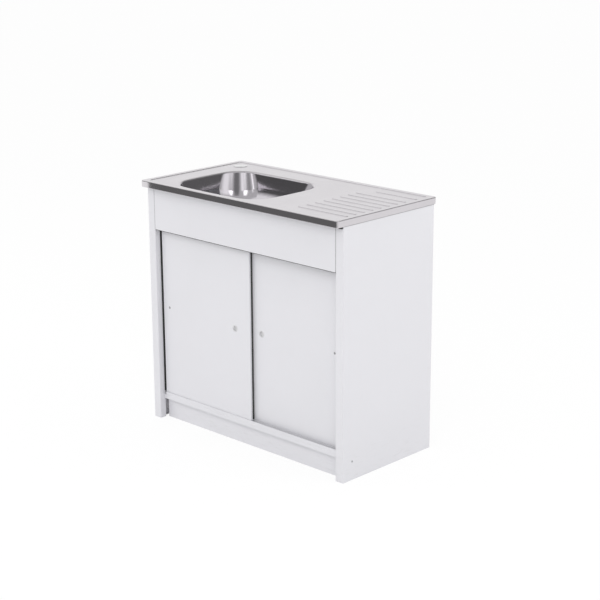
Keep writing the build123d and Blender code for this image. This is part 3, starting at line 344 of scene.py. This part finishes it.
# small metal parts: polished waste fittings, zinc plate and drawn track
metal = {"Metallic": 1.0}
polished = {
    "colour": (0.72, 0.72, 0.73, 1.0), "dark": (0.66, 0.66, 0.67, 1.0),
    "roughness": 0.10, "cloudRoughness": 0.08, "cloudScale": 60.0, "cloudRange": (0.3, 0.8),
}
zinc = {
    "colour": (0.56, 0.57, 0.58, 1.0), "dark": (0.46, 0.47, 0.48, 1.0),
    "roughness": 0.34, "grainRoughness": 0.14, "spangleScale": 160.0,
}
track = {
    "colour": (0.74, 0.75, 0.76, 1.0), "dark": (0.66, 0.67, 0.68, 1.0),
    "roughness": 0.42, "lineRoughness": 0.12, "lineStretch": (4.0, 900.0, 900.0), "lineScale": 2.0,
}


def polishedRecipe(start, point):
    clouds = noise(start, point, polished["cloudScale"], detail=3.0)
    return {
        "Base Color": clouds.smooth(*polished["cloudRange"]).blend(polished["colour"], polished["dark"]),
        "Roughness": clouds * polished["cloudRoughness"] + polished["roughness"],
    }


def zincRecipe(start, point):
    sockets = {"Vector": point, "Scale": zinc["spangleScale"]}
    grain = axisOf(start, start.add("ShaderNodeTexVoronoi", {}, sockets, output="Color"), 0)
    return {
        "Base Color": grain.blend(zinc["colour"], zinc["dark"]),
        "Roughness": grain * zinc["grainRoughness"] + zinc["roughness"],
    }


def trackRecipe(start, point):
    drawn = stretched(start, point, track["lineStretch"])
    lines = noise(start, drawn, track["lineScale"], detail=3.0)
    return {
        "Base Color": lines.blend(track["colour"], track["dark"]),
        "Roughness": lines * track["lineRoughness"] + track["roughness"],
    }


# moulded and rubber parts: colour, its darker shade, grain scale and roughness
moulded = {
    "nylon": ((0.82, 0.81, 0.78, 1.0), (0.72, 0.71, 0.68, 1.0), 300.0, 0.40),
    "cup_plastic": ((0.78, 0.78, 0.79, 1.0), (0.72, 0.72, 0.73, 1.0), 300.0, 0.20),
    "plug_plastic": ((0.36, 0.36, 0.37, 1.0), (0.28, 0.28, 0.29, 1.0), 300.0, 0.35),
    "seal_rubber": ((0.05, 0.05, 0.05, 1.0), (0.03, 0.03, 0.03, 1.0), 260.0, 0.55),
    "damping_pad": ((0.12, 0.12, 0.13, 1.0), (0.07, 0.07, 0.08, 1.0), 180.0, 0.70),
    "nut_plastic": ((0.74, 0.74, 0.72, 1.0), (0.66, 0.66, 0.64, 1.0), 260.0, 0.40),
}
mouldedGrain = {"range": (0.3, 0.8), "roughness": 0.12, "strength": 0.3, "depth": 0.00003}


def mouldedRecipe(colour, darker, scale, roughness):
    def recipe(start, point):
        grain = noise(start, point, scale, detail=4.0)
        return {
            "Base Color": grain.smooth(*mouldedGrain["range"]).blend(colour, darker),
            "Roughness": grain * mouldedGrain["roughness"] + roughness,
            "Normal": bumped(start, grain, mouldedGrain["strength"], mouldedGrain["depth"]),
        }
    return recipe


finishes = {name: newMaterial(name, mouldedRecipe(*values)) for name, values in moulded.items()}
finishes["white_enamel"] = newMaterial("white_enamel", enamelRecipe, enamel["gloss"])
finishes["door_enamel"] = newMaterial("door_enamel", enamelRecipe, enamel["gloss"])
finishes["stainless"] = newMaterial("stainless", steelRecipe)
finishes["polished_steel"] = newMaterial("polished_steel", polishedRecipe, metal)
finishes["zinc_steel"] = newMaterial("zinc_steel", zincRecipe, metal)
finishes["track_aluminium"] = newMaterial("track_aluminium", trackRecipe, metal)
finishes["screw_steel"] = newMaterial("screw_steel", zincRecipe, metal)

for name, node in nodes.items():
    for place in node.material_slots:
        place.material = finishes[slotOf[name]]
print("finishes made,", len(finishes))

# thin trim in millimetres; an outline lies in the two axes that the strip doesn't run along. The black
# strips and the grey strips under the rim are painted shade, dark pieces put where gaps and undersides lie
# in shade; the white track lips and the grey rail seams are not
millimetre = 0.001
trims = {
    "frontTrackLip": {
        "along": 0, "fromTo": (-407.5, 407.5), "bevel": 0.25, "slot": "white_enamel", "body": "cabinet",
        "outline": [(-185.4, 83.4), (-184.1, 83.4), (-184.1, 95.0), (-185.4, 95.0)]},
    "middleTrackLip": {
        "along": 0, "fromTo": (-407.5, 407.5), "bevel": 0.25, "slot": "white_enamel", "body": "cabinet",
        "outline": [(-171.4, 85.0), (-169.8, 85.0), (-169.8, 95.5), (-171.4, 95.5)]},
    # painted shade: a black strip behind the left door's edge makes the gap between the doors read dark
    "meetingPile": {
        "along": 2, "fromTo": (97.0, 684.0), "bevel": 0.3, "slot": "seal_rubber", "body": "left_door",
        "outline": [(15.2, -176.4), (16.9, -176.4), (16.9, -169.4), (15.2, -169.4)]},
    # painted shade: black strips on the stiles' inner faces make the gaps beside the doors read dark
    "leftStilePile": {
        "along": 2, "fromTo": (97.0, 679.0), "bevel": 0.3, "slot": "seal_rubber", "body": "cabinet",
        "outline": [(-416.3, -184.5), (-414.4, -184.5), (-414.4, -176.0), (-416.3, -176.0)]},
    "rightStilePile": {
        "along": 2, "fromTo": (97.0, 679.0), "bevel": 0.3, "slot": "seal_rubber", "body": "cabinet",
        "outline": [(414.4, -184.5), (416.3, -184.5), (416.3, -168.5), (414.4, -168.5)]},
    # painted shadow: a black strip along the rail's lower edge stands in for the shadow on the doors below
    # it
    "railSeal": {
        "along": 0, "fromTo": (-415.2, 415.2), "bevel": 0.3, "slot": "seal_rubber", "body": "cabinet",
        "outline": [(-203.9, 678.4), (-192.0, 678.4), (-192.0, 680.3), (-203.9, 680.3)]},
    "rightRailSeam": {
        "along": 2, "fromTo": (680.6, 827.8), "bevel": 0.08, "slot": "plug_plastic", "body": "cabinet",
        "outline": [(415.1, -205.2), (416.6, -205.2), (416.6, -204.6), (415.1, -204.6)]},
    "leftRailSeam": {
        "along": 2, "fromTo": (680.6, 827.8), "bevel": 0.08, "slot": "plug_plastic", "body": "cabinet",
        "outline": [(-416.6, -205.2), (-415.1, -205.2), (-415.1, -204.6), (-416.6, -204.6)]},
    # painted shadow: grey strips under the rim's side bands stand in for the shadow beneath the overhang
    "rightRimSeal": {
        "along": 1, "fromTo": (-204.0, 222.0), "bevel": 0.3, "slot": "plug_plastic", "body": "cabinet",
        "outline": [(447.5, 826.7), (449.2, 826.7), (449.2, 828.2), (447.5, 828.2)]},
    "leftRimSeal": {
        "along": 1, "fromTo": (-204.0, 222.0), "bevel": 0.3, "slot": "plug_plastic", "body": "cabinet",
        "outline": [(-449.2, 826.7), (-447.5, 826.7), (-447.5, 828.2), (-449.2, 828.2)]},
    # painted shadow: black blocks under the rim's front corners stand in for the shadow below the overhang
    "rightCornerBuffer": {
        "along": 2, "fromTo": (822.0, 828.0), "bevel": 0.6, "slot": "seal_rubber", "body": "cabinet",
        "outline": [(436.0, -215.0), (447.4, -215.0), (447.4, -204.6), (436.0, -204.6)]},
    "leftCornerBuffer": {
        "along": 2, "fromTo": (822.0, 828.0), "bevel": 0.6, "slot": "seal_rubber", "body": "cabinet",
        "outline": [(-447.4, -215.0), (-436.0, -215.0), (-436.0, -204.6), (-447.4, -204.6)]},
}


def profileStrip(name, values):  # the outline drawn out along the third axis, edges softened
    axis = values["along"]
    across, upward = (index for index in range(3) if index != axis)
    shape = bmesh.new()
    ends = []
    for place in values["fromTo"]:
        ring = []
        for first, second in values["outline"]:
            corner = Vector()
            corner[axis], corner[across], corner[upward] = place, first, second
            ring.append(shape.verts.new(corner * millimetre))
        ends.append(ring)
    count = len(values["outline"])
    for index in range(count):
        after = (index + 1) % count
        shape.faces.new((ends[0][index], ends[0][after], ends[1][after], ends[1][index]))
    shape.faces.new(ends[0][::-1])
    shape.faces.new(ends[1])
    bmesh.ops.recalc_face_normals(shape, faces=shape.faces)
    bevel = values["bevel"] * millimetre
    bmesh.ops.bevel(shape, geom=shape.edges[:], offset=bevel, segments=2, affect="EDGES", clamp_overlap=True)
    mesh = bpy.data.meshes.new(name)
    shape.to_mesh(mesh)
    shape.free()
    made = bpy.data.objects.new(name, mesh)
    scene.collection.objects.link(made)
    mesh.materials.append(finishes[values["slot"]])
    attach(made, values["body"])


for name, values in trims.items():
    profileStrip(name, values)
print("trim made,", len(trims), "strips")
